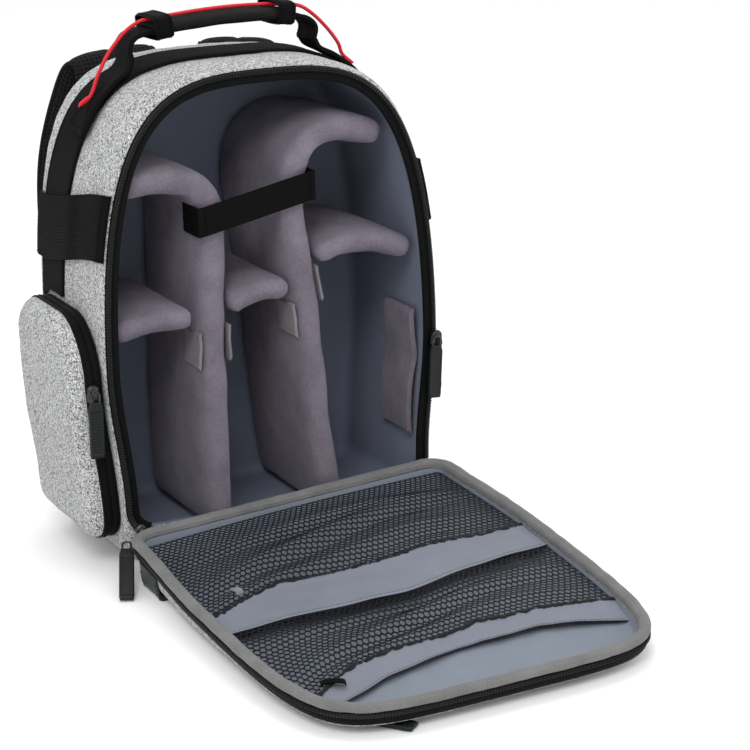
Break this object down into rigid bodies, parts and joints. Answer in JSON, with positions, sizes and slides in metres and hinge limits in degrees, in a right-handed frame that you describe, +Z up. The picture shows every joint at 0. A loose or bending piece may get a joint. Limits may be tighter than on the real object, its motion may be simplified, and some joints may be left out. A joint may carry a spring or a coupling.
{
  "type": "camera backpack",
  "caption": "Open camera backpack: padded body with dividers, front panel unzipped and laid flat, mesh pockets, top handle, shoulder straps.",
  "frame": {"origin": "on the ground under the middle of the body", "axes": "+X across the bag, -Y out of the opening, +Z up"},
  "size_m": [0.285, 0.4794, 0.3666],
  "materials": {
    "heather": "mottled grey woven polyester over foam",
    "black_cloth": "dark woven cloth",
    "webbing": "ribbed nylon webbing",
    "air_mesh": "padded spacer mesh",
    "leathercloth": "grained, slightly glossy",
    "lining_cloth": "smooth woven lining",
    "hem_cloth": "satin hem",
    "fleece": "brushed loop fleece over foam",
    "felt": "hook-tape felt",
    "velour": "soft velour binding",
    "net": "open knitted mesh",
    "zip_metal": "dark coated metal",
    "puller": "ribbed moulded rubber",
    "cord": "bright round cord",
    "nylon": "moulded nylon"
  },
  "bodies": {
    "root": {"body_shell": "heather", "pocket_face_left": "heather", "pocket_face_right": "heather", "lid_shell": "heather", "lid_pocket": "heather", "gusset_stripe": "black_cloth", "pocket_zip_left": "black_cloth", "pocket_zip_right": "black_cloth", "zip_tape": "black_cloth", "zip_coil": "black_cloth", "lid_zip_tape": "black_cloth", "lid_zip_coil": "black_cloth", "lid_pocket_zip": "black_cloth", "lid_top_zip": "black_cloth", "hinge_strip": "black_cloth", "side_strap_left": "webbing", "side_strap_right": "webbing", "handle_web": "webbing", "handle_grip": "webbing", "strap_webbing_left": "webbing", "strap_webbing_right": "webbing", "hold_strap": "webbing", "back_panel": "air_mesh", "shoulder_strap_left": "air_mesh", "shoulder_strap_right": "air_mesh", "base_panel": "leathercloth", "lid_leather": "leathercloth", "lining": "lining_cloth", "lid_lining": "lining_cloth", "hem_1": "hem_cloth", "hem_2": "hem_cloth", "divider_tall_left": "fleece", "divider_tall_right": "fleece", "divider_short_left": "fleece", "divider_short_middle": "fleece", "divider_short_right": "fleece", "wall_flap": "fleece", "hook_tab_1": "felt", "hook_tab_2": "felt", "hook_tab_3": "felt", "hook_tab_4": "felt", "wall_tab": "felt", "lid_binding": "velour", "net_1": "net", "net_2": "net", "main_slider_left": "zip_metal", "main_slider_right": "zip_metal", "pocket_slider_left": "zip_metal", "pocket_slider_right": "zip_metal", "main_pull_left": "puller", "main_pull_right": "puller", "pocket_pull_left": "puller", "pocket_pull_right": "puller", "lid_top_pull": "puller", "lid_pocket_pull": "puller", "cord_keeper_1": "puller", "cord_keeper_2": "puller", "handle_cord": "cord", "strap_buckle_left": "nylon", "strap_buckle_right": "nylon"}
  },
  "joints": []
}
